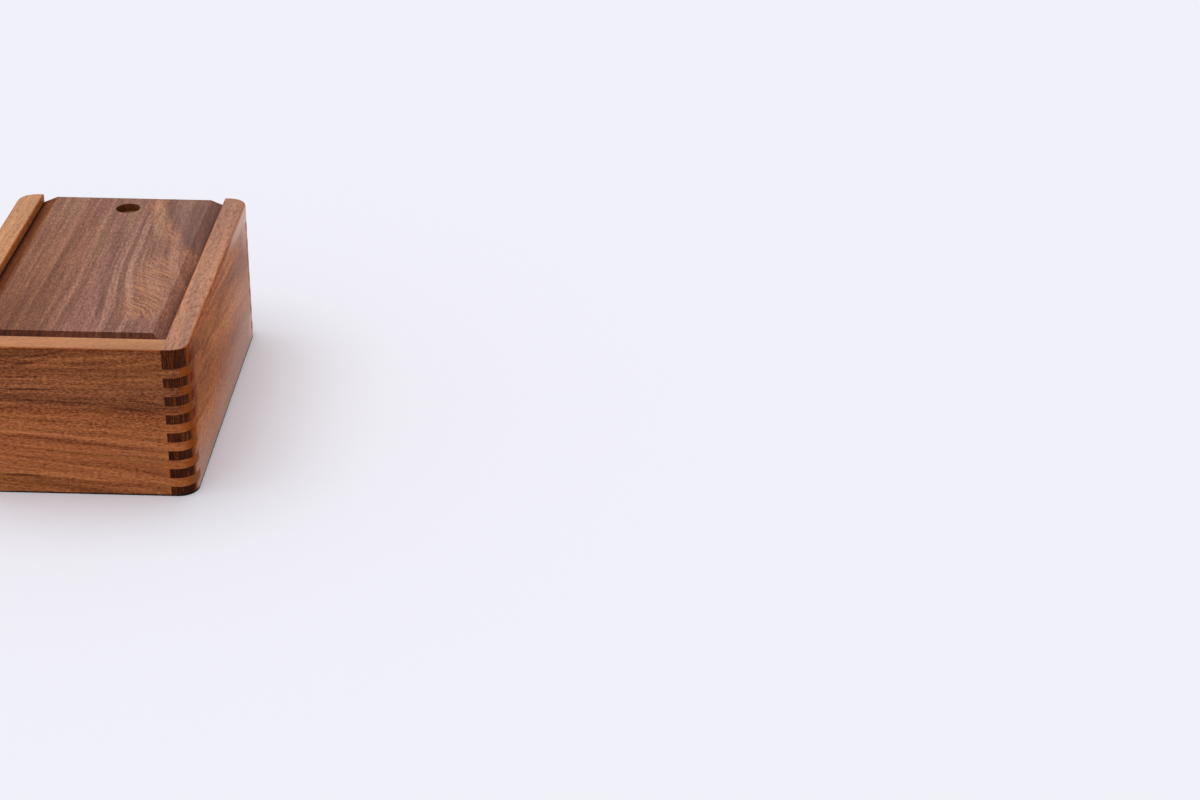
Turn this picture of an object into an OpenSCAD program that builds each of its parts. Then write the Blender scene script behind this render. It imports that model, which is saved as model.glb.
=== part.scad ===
// Wooden box for a set of chessmen, with finger-jointed corners and a lid that slides out.
// Millimetres. X runs across the box, +Y is the way the lid slides out, +Z is up.
// The origin is the middle of the underside.

/* [Box] */
// Outside width, side to side
box_w = 159; // [140:1:200]
// Outside length, along the way the lid slides
box_l = 242; // [200:1:300]
// Outside height, base felt included
box_h = 102; // [96:1:130]
// Thickness of the four walls
wall_t = 15.8; // [14:0.2:18]
// Radius of the four upright outer corners
corner_r = 12; // [8:0.5:14]
// Radius that eases the outer top edges
edge_r = 1.8; // [0.8:0.1:2.4]
// Radius that eases the outer bottom edges
foot_r = 0.3; // [0.2:0.1:1]
// Chamfer along the inner top edges
inner_chamfer = 0.6; // [0.3:0.1:1]

/* [Finger joints] */
// Fingers of an end wall at each of its corners
finger_count = 7; // [4:1:9]
// Height of a side wall's top finger, tall enough to hide the lid's groove
top_finger_h = 12.8; // [12.6:0.2:16]
// Height of a side wall's bottom finger
bottom_finger_h = 5.8; // [3:0.2:7]

/* [Lid] */
// Drop from the top of the walls to the top of the lid
lid_drop = 1.8; // [1:0.1:1.8]
// Thickness of the lid
lid_t = 9.9; // [9:0.1:10.2]
// Width of the bevel along the sides
bevel_w = 10; // [6:0.2:14]
// Width of the bevel at the near end
bevel_near = 12; // [6:0.2:14]
// Height of the bevel
bevel_h = 4.2; // [3:0.1:5]
// Depth of the tongue that runs in the grooves
tongue_d = 5; // [3:0.5:6]
// How far the lid's far end stops short of the walls' ends
lid_short = 1; // [0:0.5:3]
// Play above and below the tongue
slide_gap = 0.3; // [0.2:0.05:0.4]
// Play between the tongue's edge and the bottom of its groove
edge_gap = 0.5; // [0.3:0.1:1]

/* [Thumb notch] */
// Diameter of the notch
notch_d = 16.4; // [12:0.2:22]
// From the far end of the box to the middle of the notch
notch_back = 18.8; // [14:0.2:40]
// Sideways offset of the notch
notch_x = -0.8; // [-5:0.1:5]
// Depth at the far, upright side of the notch
notch_deep = 5.4; // [4:0.1:7]
// Depth at the near side, where the sloping floor runs out
notch_shallow = 0.2; // [0:0.1:2]
// Sideways slope of the notch's floor, deeper at -X
notch_lean = 6; // [0:1:10]

/* [Inside] */
// Thickness of the bottom panel
panel_t = 6; // [4:0.5:8]
// How far the bottom panel is let into each wall
panel_in = 6; // [4:0.5:7]
// Thickness of the divider between the two compartments
divider_t = 6; // [4:0.5:8]
// How far the divider is let into each side wall
housing_d = 3; // [2:0.5:4]
// Gap from the top of the divider to the lid
divider_gap = 2; // [1:0.5:5]

/* [Felt] */
// Thickness of the felt sheets
felt_t = 1; // [0.6:0.1:2]
// How far the base felt stops short of the walls' faces
base_felt_in = 0.1; // [0:0.1:2]
// How far a floor lining stops short of the walls round it
lining_in = 0.5; // [0.2:0.1:1]

/* [Hidden] */
$fn = 96;
over = 1;                                   // how far a cutter runs past what it cuts

inner_x = box_w / 2 - wall_t;               // inner face of a side wall
inner_y = box_l / 2 - wall_t;               // inner face of an end wall
wall_h = box_h - felt_t;                    // the walls stand on the base felt

finger_z = felt_t + bottom_finger_h;        // underside of an end wall's lowest finger
finger_h = (wall_h - top_finger_h - bottom_finger_h) / (2 * finger_count - 1);

lid_top = box_h - lid_drop;
lid_z = lid_top - lid_t;                    // underside of the lid
tongue_top = lid_top - bevel_h;
tongue_x = inner_x + tongue_d;
tongue_y = -inner_y - tongue_d;             // near end of the lid
lid_end = box_l / 2 - lid_short;            // far end of the lid
groove_d = tongue_d + edge_gap;
groove_z = lid_z - slide_gap;
groove_h = tongue_top - lid_z + 2 * slide_gap;

notch_y = box_l / 2 - notch_back;
notch_slope = atan((notch_deep - notch_shallow) / notch_d);

floor_z = felt_t + panel_t;
divider_top = lid_z - divider_gap;
lining_l = inner_y - divider_t / 2 - 2 * lining_in;
lining_y = (inner_y + divider_t / 2) / 2;

front_wood = "#9c6239";
rear_wood = "#94603a";
side_wood = "#8f5a3b";
left_wood = "#a8703f";
lid_wood = "#7a5140";
inside_wood = "#a97a4e";
felt_green = "#24442f";

// A block given by its lowest and highest corners
module block(low, high) {
    translate(low) cube(high - low);
}

// Rectangle with round corners, centred
module rounded_rect(width, length, radius) {
    square([width - 2 * radius, length], center = true);
    square([width, length - 2 * radius], center = true);
    for (x = [-1, 1], y = [-1, 1])
        translate([x * (width / 2 - radius), y * (length / 2 - radius)]) circle(radius);
}

// Section of the shell, standing on the base felt, eased more at the top than at the foot
module eased_section(width) {
    translate([0, felt_t + wall_h / 2]) rounded_rect(width, wall_h, edge_r);
    translate([0, felt_t + wall_h / 4]) rounded_rect(width, wall_h / 2, foot_r);
}

// Outer form of the box: upright corners rounded, top and bottom edges eased
module shell() {
    straight_x = box_w / 2 - corner_r;
    straight_y = box_l / 2 - corner_r;
    translate([0, straight_y, 0]) rotate([90, 0, 0])
        linear_extrude(2 * straight_y) eased_section(box_w);
    translate([-straight_x, 0, 0]) rotate([90, 0, 90])
        linear_extrude(2 * straight_x) eased_section(box_l);
    for (x = [-1, 1], y = [-1, 1])
        translate([x * straight_x, y * straight_y, 0])
            rotate_extrude() intersection() {
                eased_section(2 * corner_r);
                square([corner_r, box_h]);
            }
}

// An end wall's fingers at both of its corners, as slabs across the whole width.
// The slabs run past the outside by extra.
module end_fingers(extra = 0) {
    for (i = [0 : finger_count - 1])
        block([-box_w / 2 - extra, -box_l / 2 - extra, finger_z + 2 * i * finger_h],
              [box_w / 2 + extra, -inner_y, finger_z + (2 * i + 1) * finger_h]);
}

// The groove round the lid's tongue, open at the far end
module lid_groove() {
    block([-inner_x - groove_d, -inner_y - groove_d, groove_z],
          [inner_x + groove_d, box_l / 2 + over, groove_z + groove_h]);
}

// The bottom panel, and the recess for it in the walls
module panel_block(below = 0) {
    block([-inner_x - panel_in, -inner_y - panel_in, felt_t - below],
          [inner_x + panel_in, inner_y + panel_in, floor_z]);
}

// The divider, and its housings in the side walls
module divider_block() {
    block([-inner_x - housing_d, -divider_t / 2, floor_z],
          [inner_x + housing_d, divider_t / 2, divider_top]);
}

// Cutter for a chamfer on a level edge that runs along X
module chamfer_x(length, size) {
    rotate([45, 0, 0]) cube([length, size * sqrt(2), size * sqrt(2)], center = true);
}

// An end wall at the near end, between the side walls and as high as top, with its fingers
module end_wall(top) {
    difference() {
        intersection() {
            shell();
            union() {
                block([-inner_x, -box_l / 2, felt_t], [inner_x, -inner_y, top]);
                end_fingers();
            }
        }
        panel_block(over);
    }
}

module front_wall() {
    color(front_wood) difference() {
        end_wall(box_h);
        lid_groove();
        translate([0, -inner_y, box_h]) chamfer_x(2 * inner_x, inner_chamfer);
    }
}

// The lid slides out over this wall, so it is lower
module rear_wall() {
    color(rear_wood) difference() {
        rotate([0, 0, 180]) end_wall(groove_z);
        translate([0, box_l / 2, groove_z]) chamfer_x(2 * inner_x, inner_chamfer);
    }
}

// The side wall on the +X side
module side_wall() {
    difference() {
        intersection() {
            shell();
            block([inner_x, -box_l / 2, felt_t], [box_w / 2, box_l / 2, box_h]);
        }
        end_fingers(over);
        mirror([0, 1, 0]) end_fingers(over);
        lid_groove();
        panel_block(over);
        divider_block();
        translate([inner_x, wall_t / 2, box_h]) rotate([0, 0, 90])
            chamfer_x(box_l - wall_t, inner_chamfer);
    }
}

module right_wall() {
    color(side_wood) side_wall();
}

module left_wall() {
    color(left_wood) mirror([1, 0, 0]) side_wall();
}

module bottom_panel() {
    color(inside_wood) panel_block();
}

module divider() {
    color(inside_wood) divider_block();
}

// Section of the lid across the box: tongue, bevel and raised middle
module lid_section_across() {
    polygon([
        [-tongue_x, lid_z], [tongue_x, lid_z], [tongue_x, tongue_top], [inner_x, tongue_top],
        [inner_x - bevel_w, lid_top], [bevel_w - inner_x, lid_top],
        [-inner_x, tongue_top], [-tongue_x, tongue_top]
    ]);
}

// Section of the lid along the box: tongue and bevel at the near end only
module lid_section_along() {
    polygon([
        [tongue_y, lid_z], [lid_end, lid_z], [lid_end, lid_top],
        [bevel_near - inner_y, lid_top], [-inner_y, tongue_top], [tongue_y, tongue_top]
    ]);
}

// Round notch with an upright far side and a floor that slopes up towards the near side
module thumb_notch() {
    translate([notch_x, notch_y, lid_top]) intersection() {
        translate([0, 0, -lid_t]) cylinder(h = lid_t + over, d = notch_d);
        translate([0, -notch_d / 2, -notch_shallow]) rotate([-notch_slope, -notch_lean, 0])
            translate([-notch_d, -notch_d, 0]) cube([2 * notch_d, 3 * notch_d, 2 * lid_t]);
    }
}

module lid() {
    color(lid_wood) difference() {
        intersection() {
            translate([0, lid_end, 0]) rotate([90, 0, 0])
                linear_extrude(lid_end - tongue_y) lid_section_across();
            translate([-tongue_x, 0, 0]) rotate([90, 0, 90])
                linear_extrude(2 * tongue_x) lid_section_along();
        }
        thumb_notch();
    }
}

module base_felt() {
    color(felt_green) linear_extrude(felt_t)
        rounded_rect(box_w - 2 * base_felt_in, box_l - 2 * base_felt_in, corner_r - base_felt_in);
}

// Felt on the floor of one compartment, at the near side (-1) or the far side (1)
module lining(side) {
    color(felt_green) translate([0, side * lining_y, floor_z + felt_t / 2])
        cube([2 * (inner_x - lining_in), lining_l, felt_t], center = true);
}

module near_lining() {
    lining(-1);
}

module far_lining() {
    lining(1);
}

front_wall();
rear_wall();
left_wall();
right_wall();
bottom_panel();
divider();
lid();
base_felt();
near_lining();
far_lining();
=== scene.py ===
"""Looks of the finger-jointed box with a sliding lid: its woods, felt, floor, light and camera."""
from math import radians

import bmesh
import bpy
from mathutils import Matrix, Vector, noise

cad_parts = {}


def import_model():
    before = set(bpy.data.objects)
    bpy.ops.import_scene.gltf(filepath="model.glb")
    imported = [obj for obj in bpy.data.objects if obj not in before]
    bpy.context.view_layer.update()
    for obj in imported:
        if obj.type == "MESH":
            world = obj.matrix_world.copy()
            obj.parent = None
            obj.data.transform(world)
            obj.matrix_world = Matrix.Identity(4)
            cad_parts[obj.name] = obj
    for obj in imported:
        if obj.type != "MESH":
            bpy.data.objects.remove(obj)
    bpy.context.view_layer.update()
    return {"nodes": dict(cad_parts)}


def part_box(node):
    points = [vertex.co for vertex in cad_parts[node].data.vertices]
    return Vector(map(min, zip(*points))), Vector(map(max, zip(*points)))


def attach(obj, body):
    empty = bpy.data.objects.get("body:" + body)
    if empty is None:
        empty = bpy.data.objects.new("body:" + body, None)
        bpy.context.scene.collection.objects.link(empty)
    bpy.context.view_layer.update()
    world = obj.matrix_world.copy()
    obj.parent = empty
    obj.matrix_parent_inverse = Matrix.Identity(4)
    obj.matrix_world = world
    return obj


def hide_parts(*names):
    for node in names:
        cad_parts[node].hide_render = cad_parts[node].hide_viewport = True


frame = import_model()

# ---------------------------------------------------------------- sizes, in metres
MM = 0.001

FRONT_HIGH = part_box("front_wall")[1]
RIGHT_LOW, RIGHT_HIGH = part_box("right_wall")
LID_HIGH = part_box("lid")[1]

OUTER_X = RIGHT_HIGH.x                      # outer face of the side walls
OUTER_Y = RIGHT_HIGH.y                      # outer face of the end walls
INNER_X = RIGHT_LOW.x                       # inner face of the side walls
INNER_Y = -FRONT_HIGH.y                     # inner face of the end walls
TOP = RIGHT_HIGH.z
FOOT = RIGHT_LOW.z                          # underside of the walls
CORNER_RADIUS = 12 * MM
FLOOR_REACH = 15                            # from the middle of the floor to its edges

FINGERS = 7                                 # an end wall's fingers at each corner
TOP_FINGER = 12.8 * MM
BOTTOM_FINGER = 5.8 * MM
FINGER_Z = FOOT + BOTTOM_FINGER
FINGER_H = (TOP - TOP_FINGER - FINGER_Z) / (2 * FINGERS - 1)

BEVEL_HIGH = 10 * MM - INNER_X              # where the lid's left bevel meets its top
NOTCH_X = -0.8 * MM
NOTCH_Y = LID_HIGH.y - 17.8 * MM
NOTCH_RADIUS = 8.2 * MM

PORE_DEPTH = 0.06 * MM
FIBRE_DEPTH = 0.35 * MM
FELT_CELL = 1.2 * MM                        # length of the edges round a felt sheet

# ---------------------------------------------------------------- camera, as in the photograph
CAMERA_PLACE = (0.3511, -1.4028, 0.7419)
CAMERA_TURN = (62.520, -0.835, 1.301)       # degrees
LENS = 70.82
SENSOR = 36.0

# ---------------------------------------------------------------- light
SKY_COLOUR = (1.0, 0.955, 0.965, 1.0)
SKY_LIGHT = 0.55                            # how strongly the sky lights the box
SKY_SEEN = 0.92                             # how bright the camera and reflections see it
KEY_COLOUR = (0.94, 0.99, 1.07)
KEY_LIGHT = 1.45
KEY_SPREAD = 70                             # degrees across
KEY_TURN = (-2, -12, 0)                     # degrees from straight down


def linear(code):
    """A colour written as it looks, such as a36b3c, as linear light."""
    parts = [int(code[i:i + 2], 16) / 255 for i in (0, 2, 4)]
    return [c / 12.92 if c <= 0.04045 else ((c + 0.055) / 1.055) ** 2.4 for c in parts] + [1.0]


# ---------------------------------------------------------------- shader maths
class Value:
    """A socket in a finish's node tree. Arithmetic on it adds Math nodes."""

    def __init__(self, finish, socket):
        self.finish = finish
        self.socket = socket

    def math(self, operation, *terms):
        return self.finish.add("ShaderNodeMath", {"operation": operation}, terms)

    def __add__(self, other):
        return self.math("ADD", self, other)

    def __radd__(self, other):
        return self.math("ADD", other, self)

    def __sub__(self, other):
        return self.math("SUBTRACT", self, other)

    def __rsub__(self, other):
        return self.math("SUBTRACT", other, self)

    def __mul__(self, other):
        return self.math("MULTIPLY", self, other)

    def __rmul__(self, other):
        return self.math("MULTIPLY", other, self)

    def __truediv__(self, other):
        return self.math("DIVIDE", self, other)

    def __abs__(self):
        return self.math("ABSOLUTE", self)

    def nearest_whole(self):
        return self.math("ROUND", self)

    def or_larger(self, other):
        return self.math("MAXIMUM", self, other)


class Finish:
    """A material with one Principled shader, and the nodes that feed it."""

    def __init__(self, name):
        self.material = bpy.data.materials.new(name)
        self.material.use_nodes = True
        self.tree = self.material.node_tree
        self.shader = self.tree.nodes["Principled BSDF"]

    def add(self, kind, settings=None, inputs=(), output=0):
        """A node of this kind, with its settings, and the values or links of its sockets."""
        node = self.tree.nodes.new(kind)
        for name, setting in (settings or {}).items():
            if name == "stops":
                set_stops(node.color_ramp, setting)
            else:
                setattr(node, name, setting)
        pairs = inputs.items() if isinstance(inputs, dict) else enumerate(inputs)
        for key, value in pairs:
            self.feed(node.inputs[key], value)
        return Value(self, node.outputs[output])

    def feed(self, socket, value):
        if isinstance(value, Value):
            self.tree.links.new(value.socket, socket)
        else:
            socket.default_value = value

    def surface(self, **inputs):
        """Feeds the Principled shader. Underscores in a name stand for spaces."""
        for name, value in inputs.items():
            self.feed(self.shader.inputs[name.replace("_", " ")], value)

    def place(self):
        """x, y and z of the point on the piece, in metres."""
        point = self.add("ShaderNodeTexCoord", output="Object")
        return [self.add("ShaderNodeSeparateXYZ", None, [point], axis) for axis in "XYZ"]

    def facing(self, axis):
        """How squarely the surface faces along an axis, from 0 to 1."""
        normal = self.add("ShaderNodeTexCoord", output="Normal")
        return abs(self.add("ShaderNodeSeparateXYZ", None, [normal], axis))

    def noise(self, x, y, z=0.0, detail=2.0, rough=0.5):
        """Noise from 0 to 1, at a point that is given in sizes of its blots."""
        point = self.add("ShaderNodeCombineXYZ", None, [x, y, z])
        return self.add("ShaderNodeTexNoise", {"noise_dimensions": "3D"},
                        {"Vector": point, "Scale": 1.0, "Detail": detail, "Roughness": rough})

    def step(self, value, low, high, first=0.0, last=1.0):
        """Goes smoothly from first to last while value goes from low to high."""
        return self.add("ShaderNodeMapRange", {"interpolation_type": "SMOOTHSTEP"},
                        [value, low, high, first, last])

    def fade(self, value, low, high):
        """Goes smoothly from 1 to 0 while value goes from low to high."""
        return self.step(value, low, high, 1.0, 0.0)

    def band(self, value, rise, fall):
        """1 between two slopes and 0 outside them. Each slope is a pair of values, low and high."""
        return self.step(value, *rise) * self.fade(value, *fall)

    def ramp(self, value, stops):
        """A colour for each value from 0 to 1."""
        return self.add("ShaderNodeValToRGB", {"stops": stops}, [value])

    def mix(self, share, first, second, blend="MIX"):
        """The first colour, with a share of the second one."""
        node = {"data_type": "RGBA", "blend_type": blend}
        return self.add("ShaderNodeMix", node, {0: share, 6: first, 7: second}, 2)

    def stain(self, share, colour, code):
        """The colour, darkened by a share of a stain."""
        return self.mix(share, colour, linear(code), "MULTIPLY")

    def bump(self, height, depth):
        return self.add("ShaderNodeBump", None,
                        {"Strength": 1.0, "Distance": depth, "Height": height})


def set_stops(ramp, stops):
    while len(ramp.elements) < len(stops):
        ramp.elements.new(0.5)
    for element, (position, code) in zip(ramp.elements, stops):
        element.position = position
        element.color = linear(code)


# ---------------------------------------------------------------- what all the woods share
def wood_grain(finish, along, level, cross, tones, shade, contrast, speck, fleck_length=2.6 * MM):
    """Colour, figure and height of a board.

    along runs with the grain and level counts its growth rings, both in metres. cross is the
    pair of coordinates square to the grain, so that end grain shows the same pores as dots.
    shade makes parts of the board lighter or darker, contrast is the strength of its streaks,
    and speck that of its short flecks.
    """
    wander = finish.noise(along * 7, level * 14, detail=1.0) - 0.5
    level = level + wander * (5 * MM)
    # Three widths of streak, about 13, 3 and 1 mm across, and each many times as long
    bands = finish.noise(along * 2.2, level * 75, detail=1.5)
    streaks = finish.noise(along * 9, level * 330, detail=3.0, rough=0.6)
    lines = finish.noise(along * 26, level * 1050, detail=2.0, rough=0.6)
    flecks = finish.noise(
        along / fleck_length, cross[0] * 900, cross[1] * 900, detail=3.0, rough=0.7)
    pores = finish.noise(along * 170, cross[0] * 1150, cross[1] * 1150, detail=1.0)
    pore = finish.step(pores, 0.60, 0.74)
    figure = ((bands - 0.5) * 1.0 + (streaks - 0.5) * 1.1 + (lines - 0.5) * 0.9) * contrast
    tone = figure + (flecks - 0.5) * speck - pore * 0.22 + 0.53 + shade
    rings = finish.noise(along * 4, level * 150, 7.0, detail=2.0)
    colour = finish.stain(finish.step(rings, 0.45, 0.62), finish.ramp(tone, tones), "dedad0")
    return colour, figure, (flecks - 0.5) * 0.6 - pore


def marks(finish, across, along, table):
    """How much lighter or darker long soft streaks make a board, place by place.

    A row holds where a streak's middle is across and along the board, half its width and half
    its length, all in millimetres, then its slant, and what it adds in its middle.
    """
    across = across + (finish.noise(along * 40, across * 110, detail=3.0) - 0.5) * (3 * MM)
    total = 0.0
    for middle, run, width, length, slant, amount in table:
        side = (across - (along - run * MM) * slant - middle * MM) / (width * MM)
        end = (along - run * MM) / (length * MM)
        total = total + finish.step(side * side + end * end, 0.1, 1.0, amount, 0.0)
    return total


def glue_lines(finish, place, seam, axis, colour):
    """Fine dark lines round the fingers of a board that runs along this axis.

    seam is how far the point is past the line where the fingers begin.
    """
    x, y, z = place
    corner = finish.step(abs(x), INNER_X - 0.3 * MM, INNER_X)
    corner = corner * finish.step(abs(y), INNER_Y - 0.3 * MM, INNER_Y)
    count = (z - FINGER_Z) / FINGER_H
    inside = finish.band(count, (-0.2, -0.1), (2 * FINGERS - 0.9, 2 * FINGERS - 0.8))
    edge = abs(count - count.nearest_whole()) * FINGER_H
    level_line = finish.fade(edge, 0.05 * MM, 0.28 * MM) * inside
    upright = finish.fade(abs(seam), 0.05 * MM, 0.3 * MM)
    upright = upright * finish.step(finish.facing(axis), 0.5, 0.9)
    line = level_line.or_larger(upright) * corner
    line = line * finish.step(finish.facing("Y"), 0.2, 0.6, 0.3, 0.65)
    return finish.mix(line, colour, linear("2a160d"))


def corner_orange(finish, colour):
    """A deep orange on the rounded upright corners, where one face turns into the next."""
    turned = finish.facing("X")
    share = finish.band(turned, (0.35, 0.85), (0.90, 0.998)) * 0.85
    share = share * finish.fade(finish.facing("Z"), 0.1, 0.3)
    return finish.mix(share, colour, linear("904406"))


def oiled(finish, colour, rough, relief):
    """An outer board's surface. Its eased edges are darker and duller, so they don't shine pale."""
    tilt = finish.facing("Z")
    eased = finish.band(tilt, (0.15, 0.40), (0.93, 0.995))
    colour = finish.stain(eased, colour, "eed2ba")
    finish.surface(Base_Color=colour, Roughness=rough + eased * 0.2, Specular_IOR_Level=0.1,
                   Normal=finish.bump(relief, PORE_DEPTH))
    return finish.material


# ---------------------------------------------------------------- end walls
FRONT_TONES = (
    (0.00, "3e1d0e"), (0.20, "70391b"), (0.42, "93552f"), (0.58, "b06a3f"), (0.80, "c8834f"))
FRONT_STAIN = (                             # from the foot of the wall to its top
    (0.00, "fcf8f4"), (0.15, "fffcfa"), (0.22, "f8f0ec"), (0.37, "f6ecea"), (0.43, "fffcfa"),
    (0.49, "fffaf6"), (0.58, "eee2dc"), (0.63, "dcd8dc"), (0.72, "e0dee4"), (0.80, "e6e2e4"),
    (0.86, "e2dcd6"), (1.00, "e6e2da"))
FRONT_MARKS = (                             # across is z, along is x
    (98.0, 60, 4.5, 24, 0.00, -0.14),
    (97.0, -10, 1.3, 18, 0.24, -0.14),
    (93.0, 30, 3.4, 32, 0.06, -0.12),
    (92.0, -16, 1.5, 20, 0.24, -0.16),
    (91.5, -36, 4.5, 28, 0.00, -0.15),
    (82.0, -24, 1.3, 18, 0.05, -0.22),
    (80.0, 58, 9.0, 13, 0.00, 0.08),
    (76.2, 15, 1.2, 50, 0.00, 0.10),
    (74.0, 80, 18.0, 15, 0.00, -0.14),
    (73.3, -20, 0.6, 18, -0.005, -0.75),
    (68.0, 44, 4.5, 50, 0.00, -0.07),
    (66.0, 50, 1.2, 14, -0.12, -0.18),
    (64.8, -12, 2.6, 42, -0.02, -0.20),
    (60.5, 48, 5.0, 60, 0.00, -0.15),
    (60.0, 46, 1.5, 22, -0.10, -0.20),
    (52.0, -34, 4.5, 24, 0.00, 0.09),
    (52.0, 50, 4.5, 60, 0.00, -0.06),
    (44.5, -28, 5.0, 42, 0.00, 0.14),
    (44.0, 44, 5.0, 46, 0.00, 0.09),
    (37.0, 8, 2.6, 62, -0.09, -0.18),
    (23.0, 0, 13.0, 110, 0.00, 0.07),
    (12.6, -30, 1.1, 18, -0.02, -0.30),
    (12.5, 10, 4.5, 110, 0.00, 0.08),
    (9.0, 12, 1.9, 60, -0.08, -0.18),
)
REAR_MARKS = (
    (37.0, 8, 2.6, 62, -0.09, -0.18),
    (12.6, -30, 1.1, 18, -0.02, -0.30),
    (9.0, 12, 1.9, 60, -0.08, -0.18),
)


def finger_ends(finish, place, colour):
    """The end grain of an end wall's fingers, with painted floor reflection paler low down and
    painted sheen at the far right corner.
    """
    x, y, z = place
    ends = finish.step(finish.facing("X"), 0.6, 0.95)
    # painted sheen on the end grain at the far right corner; the paler end grain low down is painted
    # floor reflection
    far_right_sheen = finish.step(x + y, 100 * MM, 150 * MM)
    cut = finish.mix(finish.step(z, 8 * MM, 36 * MM), linear("8c5840"), linear("783a08"))
    cut = finish.mix(far_right_sheen, cut, linear("a8806c"))
    return finish.mix(ends * 0.55, corner_orange(finish, colour), cut)


def end_board(name, table):
    """End wall: level grain, darker and greyer above the middle, orange below."""
    finish = Finish(name)
    x, y, z = place = finish.place()
    ring = z - x * (z - 75 * MM) * 2.2          # the rings spread a little to the right
    outside = finish.step(abs(y), OUTER_Y - 4 * MM, OUTER_Y - 2 * MM)
    shade = marks(finish, z, x, table) * outside
    speck = finish.step(z, 26 * MM, 56 * MM, 1.1, 1.5)
    colour, figure, relief = wood_grain(
        finish, x, ring + y * 0.35, (y, z), FRONT_TONES, shade, 0.55, speck)
    top = finish.step(finish.facing("Z"), 0.5, 0.95)
    wave = finish.noise(x * 9, z * 20, detail=2.0) - 0.5
    stain = finish.ramp((ring + wave * (6 * MM)) / TOP, FRONT_STAIN)
    colour = finish.mix(1.0 - top, colour, stain, "MULTIPLY")
    colour = finish.mix(top * 0.5, colour, linear("c8926c"))
    near_joint = finish.step(abs(x), INNER_X - 4 * MM, INNER_X, 0.0, 0.3) * (1.0 - top)
    near_joint = near_joint * finish.fade(z, 50 * MM, 66 * MM)
    colour = finish.mix(near_joint, colour, linear("b4602a"))
    colour = finger_ends(finish, place, colour)
    colour = glue_lines(finish, place, abs(y) - INNER_Y, "X", colour)
    rough = finish.step(finish.facing("X"), 0.3, 0.7, 0.62, 0.90) - figure * 0.12
    return oiled(finish, colour, rough, relief)


# ---------------------------------------------------------------- side walls
RIGHT_TONES = (
    (0.00, "5e280d"), (0.20, "7d3d18"), (0.42, "9c5425"), (0.58, "b06631"), (0.80, "c87f44"))
LEFT_TONES = (
    (0.00, "6a3416"), (0.20, "8c4c26"), (0.42, "ac683a"), (0.58, "c67e4c"), (0.80, "dc9c6c"))
SIDE_MARKS = (                              # across is z, along is y
    (96.0, 46, 4.5, 58, 0.00, 0.15),
    (95.0, 96, 0.9, 34, -0.04, -0.30),
    (94.0, 20, 1.6, 84, -0.045, -0.20),
    (88.0, -92, 1.8, 30, -0.03, -0.08),
    (88.0, -62, 5.0, 36, 0.00, 0.13),
    (80.0, -38, 5.5, 30, -0.05, 0.27),
    (77.0, -88, 4.0, 32, -0.03, -0.08),
    (77.0, 52, 3.0, 40, -0.12, -0.12),
    (76.0, -58, 2.4, 22, -0.06, -0.16),
    (71.0, 22, 6.0, 58, -0.05, 0.17),
    (70.5, -68, 7.0, 36, -0.05, -0.16),
    (66.0, -80, 2.2, 40, -0.05, -0.10),
    (61.0, -60, 5.0, 42, -0.05, -0.10),
    (56.0, 40, 5.0, 50, -0.10, 0.06),
    (30.0, 48, 5.5, 34, -0.25, -0.12),
    (27.0, 0, 11.0, 52, 0.00, -0.08),
    (5.5, 4, 3.5, 46, 0.00, -0.10),
)
SHEEN_MARKS = (                              # painted sheen and floor reflection: along the top, and at the far end
    (107, 104, 25, 92, -0.06, 0.76),
    (82, 116, 16, 36, 0.00, 0.40),
    (11, 114, 15, 26, 0.00, 0.46),
)


def reflection_painted_face(finish, y, z, face, figure, colour):
    """A side wall's outer face, with painted reflection and sheen: paler towards the far end, the
    foot and the top.
    """
    # painted reflection of the pale floor, stronger towards the far end and low down
    slope = y * 4.6 + z * -7.0 + 0.60
    colour = finish.mix(finish.step(slope, 0.05, 1.15, 0.0, 0.58) * face, colour, linear("bc9484"))
    # painted floor reflection along the foot, strongest at the near end
    low = finish.step(z, -4 * MM, 46 * MM, 0.42, 0.0)
    low = low * finish.step(y, -100 * MM, -40 * MM, 1.5, 1.0)
    colour = finish.mix(low * face, colour, linear("c8b0a6"))
    # painted sheen in soft patches along the top and at the far end, streaked by the grain
    pale = marks(finish, z, y, SHEEN_MARKS) * face * (figure * 1.4 + 1.0)
    return finish.mix(pale, colour, linear("e0baaa"))


def side_top(finish, x, y, top, top_code, sheen_share, colour):
    """A side wall's top edge: paler, with fine dark specks, and duller towards the far end."""
    colour = finish.mix(top * 0.34, colour, linear(top_code))
    specks = finish.step(finish.noise(y * 150, x * 520, 5.0, detail=4.0, rough=0.7), 0.46, 0.66)
    colour = finish.stain(specks * top * (0.4 + 0.5 * sheen_share), colour, "cac0b6")
    return finish.stain(finish.step(y, -20 * MM, 80 * MM, 0.0, sheen_share) * top, colour, "e8e4e6")


def side_ends(finish, place, colour):
    """The end grain of a side wall's fingers: close upright rings, a little paler in the top one."""
    x, y, z = place
    top_finger = finish.step(z, 87 * MM, 91 * MM, 0.0, 0.06)
    rings = finish.noise(x * 1250, z * 60, y * 40, detail=2.0) + top_finger
    cut = finish.mix(finish.step(rings, 0.46, 0.68), linear("5c462e"), linear("9c8870"))
    cut = finish.mix(1.0, colour, cut, "MULTIPLY")
    ends = finish.step(finish.facing("Y"), 0.30, 0.62)
    return finish.mix(ends, corner_orange(finish, colour), cut)


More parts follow.
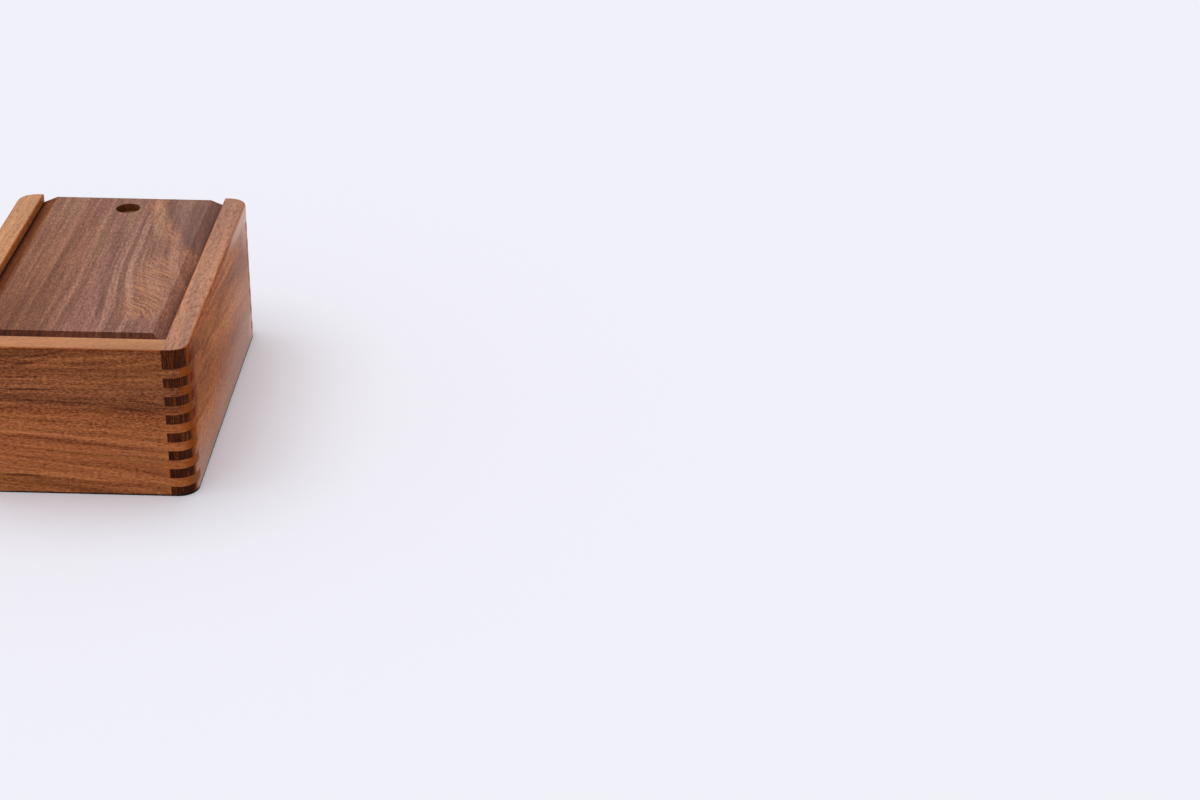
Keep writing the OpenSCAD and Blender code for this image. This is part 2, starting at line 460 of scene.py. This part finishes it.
def side_board(name, tones, top_code, sheen_share):
    """Side wall: flat-sawn, with close upright rings on its ends.

    Its outer face carries painted sheen and painted floor reflection, by the share sheen_share,
    which also scales the top's specks, its lengthwise shift and its duller far end.
    """
    finish = Finish(name)
    x, y, z = place = finish.place()
    wave = finish.noise(y * 7, z * 14, 3.0, detail=1.0) - 0.5
    level = abs(x) + z * 0.4 + y * 0.055 + wave * (8 * MM)
    outside = finish.step(abs(x), OUTER_X - 2 * MM, OUTER_X - 0.5 * MM)
    top = finish.step(finish.facing("Z"), 0.5, 0.95)
    mottle = finish.noise(y * 110, x * 380, detail=2.0) - 0.5
    # the top's tone shifts along its length: darker at the near end, lighter towards the far end,
    # most by its inner edge
    lengthwise_shift = finish.fade(abs(x), 64 * MM, 71 * MM) * finish.step(y, -80 * MM, 40 * MM, -0.06, 0.08)
    lengthwise_shift = (lengthwise_shift + finish.step(y, -110 * MM, 50 * MM, -0.10, 0.03)) * sheen_share
    shade = marks(finish, z, y, SIDE_MARKS) * outside + top * (mottle * 0.7 + lengthwise_shift + 0.17)
    colour, figure, relief = wood_grain(finish, y, level, (x, z), tones, shade, 0.45, 1.4)
    face = finish.facing("X") * outside * sheen_share
    colour = reflection_painted_face(finish, y, z, face, figure, colour)
    # a deeper orange at the near end of the outer face, with more roughness: painted where that end
    # shows little reflected sheen
    wider = finish.step(z, 30 * MM, 64 * MM, -2 * MM, 8 * MM)
    near_corner = finish.fade(y - wider, -120 * MM, -98 * MM) * outside
    near_corner = near_corner * finish.step(z, 12 * MM, 40 * MM)
    near_corner = near_corner * finish.step(z, 90 * MM, 100 * MM, 1.0, 0.4)
    colour = finish.stain(near_corner, colour, "ae6210")
    colour = side_top(finish, x, y, top, top_code, sheen_share, colour)
    # the inner face above the lid is mixed towards a saturated orange: painted warm bounce light
    inner = finish.fade(abs(x), INNER_X + 0.05 * MM, INNER_X + 0.3 * MM)
    inner = inner * finish.step(z, 88 * MM, 96 * MM, 0.0, 0.45)
    colour = finish.mix(inner, colour, linear("b8641c"))
    colour = side_ends(finish, place, colour)
    colour = glue_lines(finish, place, abs(x) - INNER_X, "Y", colour)
    # a dark line at the foot, just above the felt: painted shadow of the gap there, with some dirt
    foot = finish.step(z, FOOT + 0.3 * MM, FOOT + 1.4 * MM, 0.6, 0.0) * outside
    colour = finish.mix(foot, colour, linear("1c1810"))
    rough = finish.step(y, -110 * MM, 100 * MM, 0.74, 0.48) + near_corner * 0.2 - figure * 0.12
    return oiled(finish, colour, rough, relief)


# ---------------------------------------------------------------- lid
LID_TONES = (
    (0.00, "40271e"), (0.25, "734736"), (0.50, "8e5e4e"), (0.75, "ae7f68"), (1.00, "cda385"))
LID_MARKS = (                               # across is x, along is y
    (-60, 20, 6.0, 140, 0.00, -0.10),
    (-50, 40, 2.0, 90, 0.00, 0.10),
    (-46, 104, 16.0, 44, 0.00, 0.07),
    (-44, 21, 1.2, 75, 0.00, 0.14),
    (-38, -45, 2.6, 66, 0.00, -0.12),
    (-27, -10, 3.0, 110, 0.01, -0.06),
    (-18, 98, 7.0, 44, 0.00, -0.10),
    (-12, 60, 5.0, 60, 0.00, 0.06),
    (-6, -72, 7.0, 32, 0.00, -0.07),
    (5, 25, 2.2, 62, -0.04, -0.16),
    (5, 90, 7.0, 52, -0.04, 0.11),
    (12, -50, 3.0, 46, -0.17, -0.12),
    (20, -12, 15.0, 55, -0.10, 0.06),
    (24, 88, 5.0, 48, -0.12, 0.24),
    (25, 0, 7.0, 125, 0.00, 0.07),
    (42, -64, 14.0, 20, 0.00, 0.08),
    (44, -8, 17.0, 42, 0.00, 0.06),
    (46, -52, 8.0, 34, 0.00, -0.07),
    (57, 22, 6.0, 34, 0.00, 0.15),
    (58, -86, 8.0, 52, 0.00, -0.17),
    (61.5, -45, 3.0, 66, 0.00, -0.10),
)


def gold_lines(finish, x, y, curve, colour):
    """Golden lines that follow curve: a fan of them on the right, and a few beside the patch."""
    lines = finish.step(finish.noise(curve * 540, y * 62, 4.0, detail=1.5), 0.46, 0.58)
    fan = finish.step(x, 22 * MM, 34 * MM) * finish.step(x, 45 * MM, 53 * MM, 1.0, 0.3)
    fan = fan * finish.step(y, -80 * MM, -60 * MM) * finish.step(y, 6 * MM, 30 * MM, 1.0, 0.15)
    beside = finish.band(curve, (156 * MM, 166 * MM), (169 * MM, 173 * MM))
    beside = beside * finish.step(y, 5 * MM, 30 * MM)
    place = fan.or_larger(beside * 0.7)
    colour = finish.mix(place * 0.3, colour, linear("86543a"))
    return finish.mix(lines * place * 0.5, colour, linear("d4945e"))


def lid_patches(finish, x, y, curve, colour):
    """The grey patch at the far right, and the warmer oil on the left, deepest at the near end."""
    patch = finish.step(curve, 172 * MM, 178 * MM, 0.0, 0.55) * finish.step(y, 12 * MM, 40 * MM)
    patch = patch * finish.step(y, 80 * MM, 118 * MM, 1.0, 0.55)
    colour = finish.mix(patch, colour, linear("664a44"))
    warm = finish.fade(x, -30 * MM, 12 * MM) * finish.step(y, 30 * MM, 112 * MM, 1.0, 0.38)
    colour = finish.stain(warm, colour, "f7ebcf")
    near_left = finish.fade(x, -42 * MM, -8 * MM) * finish.fade(y, -100 * MM, 45 * MM)
    return finish.stain(near_left, colour, "ddcdba")


def thumb_notch(finish, x, y, colour):
    """Painted shade inside the thumb notch, as a darker and warmer stain, and the share of it at a
    point.
    """
    across = x - NOTCH_X
    along = y - NOTCH_Y
    notch = finish.fade((across * across + along * along) / NOTCH_RADIUS ** 2, 1.0, 1.06)
    return finish.stain(notch, colour, "ccb48c"), notch


def lid_slopes(finish, x, y, right_slope, left_slope, end, colour):
    """The wood of the bevels at the sides, with painted shade on the left one, and of the bevel and
    the cut at the lid's two ends.
    """
    colour = finish.stain(right_slope, colour, "e6d3c3")
    low = right_slope * finish.step(x, INNER_X - 7 * MM, INNER_X - 0.5 * MM)
    colour = finish.stain(low, colour, "d8d0cc")
    # the left bevel and the lid's edge beyond it are stained warmer and darker: painted shade from
    # the left wall, with its warm bounce light
    by_left = finish.fade(x, BEVEL_HIGH, BEVEL_HIGH + 3.5 * MM)
    colour = finish.stain(by_left, colour, "e5cea1")
    shaded = finish.step(x, 1 * MM - INNER_X, BEVEL_HIGH - 1 * MM, 0.84, 0.0) * left_slope
    shaded = shaded * finish.step(y, 70 * MM, 110 * MM, 1.0, 0.75)
    colour = finish.stain(shaded, colour, "9a6436")
    near = finish.fade(y, -90 * MM, -86 * MM)
    colour = finish.stain(end * near, colour, "a48468")
    return finish.stain(end * (1.0 - near), colour, "c8b8a8")


def lid_board(name):
    """Lid: straight grain on the left, and lines that swing out below a grey patch on the right."""
    finish = Finish(name)
    x, y, z = finish.place()
    swing = finish.step(y, -75 * MM, 15 * MM, 0.0, 85 * MM)
    swing = swing + finish.step(y, -60 * MM, 120 * MM, 0.0, 62 * MM)
    level = x + finish.step(x, -6 * MM, 46 * MM) * swing * 0.24 + z * 0.3
    wave = (finish.noise(x * 110, y * 110, detail=2.0) - 0.5) * (9 * MM)
    curve = x + swing + wave
    rim = finish.band(curve, (171 * MM, 174 * MM), (175 * MM, 182 * MM))
    rim = rim * finish.step(y, 10 * MM, 50 * MM)
    shade = marks(finish, x, y, LID_MARKS) - rim * 0.14
    colour, figure, relief = wood_grain(
        finish, y, level, (x, z), LID_TONES, shade, 0.5, 1.25, 3.8 * MM)
    colour = gold_lines(finish, x, y, curve, colour)
    colour = lid_patches(finish, x, y, curve, colour)
    colour, notch = thumb_notch(finish, x, y, colour)
    sloping = finish.step(finish.facing("X"), 0.12, 0.36) * (1.0 - notch)
    right = finish.step(x, -1 * MM, 1 * MM)
    left_slope = sloping * (1.0 - right)
    end = finish.step(finish.facing("Y"), 0.12, 0.30) * (1.0 - notch)
    colour = lid_slopes(finish, x, y, sloping * right, left_slope, end, colour)
    # painted shadow, with some grime, where the lid's edges run into the walls' grooves
    side = abs(x).or_larger(y * -1.0 - (INNER_Y - INNER_X))
    shadow_and_grime = finish.step(side, INNER_X - 2.4 * MM, INNER_X - 0.4 * MM)
    shadow_and_grime = shadow_and_grime * finish.fade(side, INNER_X, INNER_X + 0.4 * MM)
    colour = finish.mix(shadow_and_grime * 0.9, colour, linear("1e100a"))
    rough = end * 0.3 + left_slope * 0.45 + 0.44 - figure * 0.12
    finish.surface(Base_Color=colour, Roughness=rough, Specular_IOR_Level=0.1,
                   Normal=finish.bump(relief, PORE_DEPTH))
    return finish.material


# ---------------------------------------------------------------- inside
PLAIN_TONES = (
    (0.10, "84492a"), (0.34, "a4633c"), (0.52, "b8764a"), (0.70, "c8885a"), (0.92, "d89e74"))


def plain_board(name):
    """The bottom panel and the divider: plain sanded wood that runs across the box."""
    finish = Finish(name)
    x, y, z = finish.place()
    colour, figure, relief = wood_grain(finish, x, y + z * 0.4, (y, z), PLAIN_TONES, 0.0, 0.7, 1.2)
    colour = finish.stain(finish.step(finish.facing("X"), 0.42, 0.78), colour, "a08c78")
    finish.surface(Base_Color=colour, Roughness=0.64 - figure * 0.12, Specular_IOR_Level=0.2,
                   Normal=finish.bump(relief, PORE_DEPTH))
    return finish.material


def felt_finish(name, tones):
    """Dark green wool felt, with its matted fibres."""
    finish = Finish(name)
    x, y, z = finish.place()
    mat = finish.noise(x * 900, y * 900, z * 900, detail=3.0, rough=0.7)
    blots = finish.noise(x * 60, y * 60, z * 60, detail=2.0)
    colour = finish.ramp(mat * 0.7 + blots * 0.3, tones)
    finish.surface(Base_Color=colour, Roughness=0.95, Normal=finish.bump(mat, FIBRE_DEPTH))
    finish.surface(Sheen_Weight=0.1, Sheen_Roughness=0.5, Specular_IOR_Level=0.2)
    return finish.material


def dress(node, material):
    """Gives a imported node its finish."""
    piece = frame["nodes"][node]
    piece.data.materials.clear()
    piece.data.materials.append(material)


def finished(name, mesh, material):
    """The piece's object, at the origin, with its place in its mesh."""
    data = bpy.data.meshes.new(name)
    mesh.to_mesh(data)
    mesh.free()
    data.materials.append(material)
    piece = bpy.data.objects.new(name, data)
    bpy.context.scene.collection.objects.link(piece)
    return piece


# ---------------------------------------------------------------- felt sheets
def felt_sheet(name, node, radius, ripple, material):
    """A sheet of felt in the space of a node: ragged edge, rounded rim.

    radius is that of its corners, and ripple is how ragged its edge is.
    """
    low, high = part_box(node)
    size = high - low
    middle = (low + high) / 2
    mesh = bmesh.new()
    bmesh.ops.create_grid(mesh, x_segments=1, y_segments=1, size=0.5)
    bmesh.ops.scale(mesh, vec=(size.x, size.y, 1), verts=mesh.verts)
    if radius:
        bmesh.ops.bevel(mesh, geom=mesh.verts[:], offset=radius, offset_type="OFFSET", segments=8,
                        profile=0.5, affect="VERTICES", material=-1)
    for edge in mesh.edges[:]:
        cuts = int(edge.calc_length() / FELT_CELL) - 1
        if cuts > 0:
            bmesh.ops.subdivide_edges(mesh, edges=[edge], cuts=cuts)
    # Short and long waves draw the edge in, so that it looks cut by hand
    for vert in mesh.verts:
        drift = noise.noise(vert.co * 420) * ripple + noise.noise(vert.co * 90) * ripple
        vert.co -= vert.co.normalized() * (abs(drift) + 0.1 * ripple)
    raised = bmesh.ops.extrude_face_region(mesh, geom=mesh.faces[:])
    raised = [part for part in raised["geom"] if isinstance(part, bmesh.types.BMVert)]
    bmesh.ops.translate(mesh, verts=raised, vec=(0, 0, size.z))
    bmesh.ops.translate(mesh, verts=mesh.verts, vec=(middle.x, middle.y, low.z))
    bmesh.ops.recalc_face_normals(mesh, faces=mesh.faces)
    rim = [edge for edge in mesh.edges if edge.verts[0].co.z == edge.verts[1].co.z]
    bmesh.ops.bevel(mesh, geom=rim, offset=0.22 * MM, offset_type="OFFSET", segments=2,
                    profile=0.5, affect="EDGES", material=-1)
    piece = finished(name, mesh, material)
    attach(piece, "box")
    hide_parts(node)


# ---------------------------------------------------------------- the scene round the box
def floor():
    mesh = bmesh.new()
    bmesh.ops.create_grid(mesh, x_segments=1, y_segments=1, size=FLOOR_REACH)
    finish = Finish("pale_floor")
    finish.surface(Base_Color=linear("f4f4f8"), Roughness=0.9, Specular_IOR_Level=0.1)
    finished("floor", mesh, finish.material)


def world():
    """An even pale sky. What the camera and reflections see of it is nearly white."""
    sky = bpy.data.worlds.new("studio")
    bpy.context.scene.world = sky
    sky.use_nodes = True
    tree = sky.node_tree
    shader = tree.nodes["Background"]
    shader.inputs["Color"].default_value = SKY_COLOUR
    path = tree.nodes.new("ShaderNodeLightPath")
    seen = tree.nodes.new("ShaderNodeMath")
    seen.operation = "MAXIMUM"
    tree.links.new(path.outputs["Is Camera Ray"], seen.inputs[0])
    tree.links.new(path.outputs["Is Glossy Ray"], seen.inputs[1])
    strength = tree.nodes.new("ShaderNodeMapRange")
    strength.inputs["To Min"].default_value = SKY_LIGHT
    strength.inputs["To Max"].default_value = SKY_SEEN
    tree.links.new(seen.outputs[0], strength.inputs["Value"])
    tree.links.new(strength.outputs[0], shader.inputs["Strength"])


def key_light():
    """One broad soft lamp overhead, a little behind the box and to its left."""
    lamp = bpy.data.lights.new("key", "SUN")
    lamp.energy = KEY_LIGHT
    lamp.color = KEY_COLOUR
    lamp.angle = radians(KEY_SPREAD)
    holder = bpy.data.objects.new("key", lamp)
    holder.rotation_euler = [radians(turn) for turn in KEY_TURN]
    bpy.context.scene.collection.objects.link(holder)


def camera():
    lens = bpy.data.cameras.new("camera")
    lens.lens = LENS
    lens.sensor_width = SENSOR
    lens.clip_end = 100
    holder = bpy.data.objects.new("camera", lens)
    holder.location = CAMERA_PLACE
    holder.rotation_euler = [radians(turn) for turn in CAMERA_TURN]
    bpy.context.scene.collection.objects.link(holder)
    bpy.context.scene.camera = holder


camera()
floor()
world()
key_light()
bpy.context.scene.view_settings.view_transform = "Standard"

dress("front_wall", end_board("front_wood", FRONT_MARKS))
dress("rear_wall", end_board("rear_wood", REAR_MARKS))
dress("right_wall", side_board("right_wood", RIGHT_TONES, "d6b4a2", 1.0))
dress("left_wall", side_board("left_wood", LEFT_TONES, "deae82", 0.3))
dress("lid", lid_board("lid_wood"))
dress("bottom_panel", plain_board("panel_wood"))
dress("divider", plain_board("divider_wood"))

# the base felt is a darker copy of the lining felt: painted shade for the strip in shadow under the
# walls
base_felt = felt_finish("base_felt", ((0.30, "060d09"), (0.50, "0b1710"), (0.70, "132619")))
lining_felt = felt_finish("green_felt", ((0.30, "0c1a12"), (0.50, "152a1d"), (0.70, "213e2b")))
felt_sheet("felt_base", "base_felt", CORNER_RADIUS, 0.1 * MM, base_felt)
felt_sheet("felt_near", "near_lining", 0, 0.2 * MM, lining_felt)
felt_sheet("felt_far", "far_lining", 0, 0.2 * MM, lining_felt)
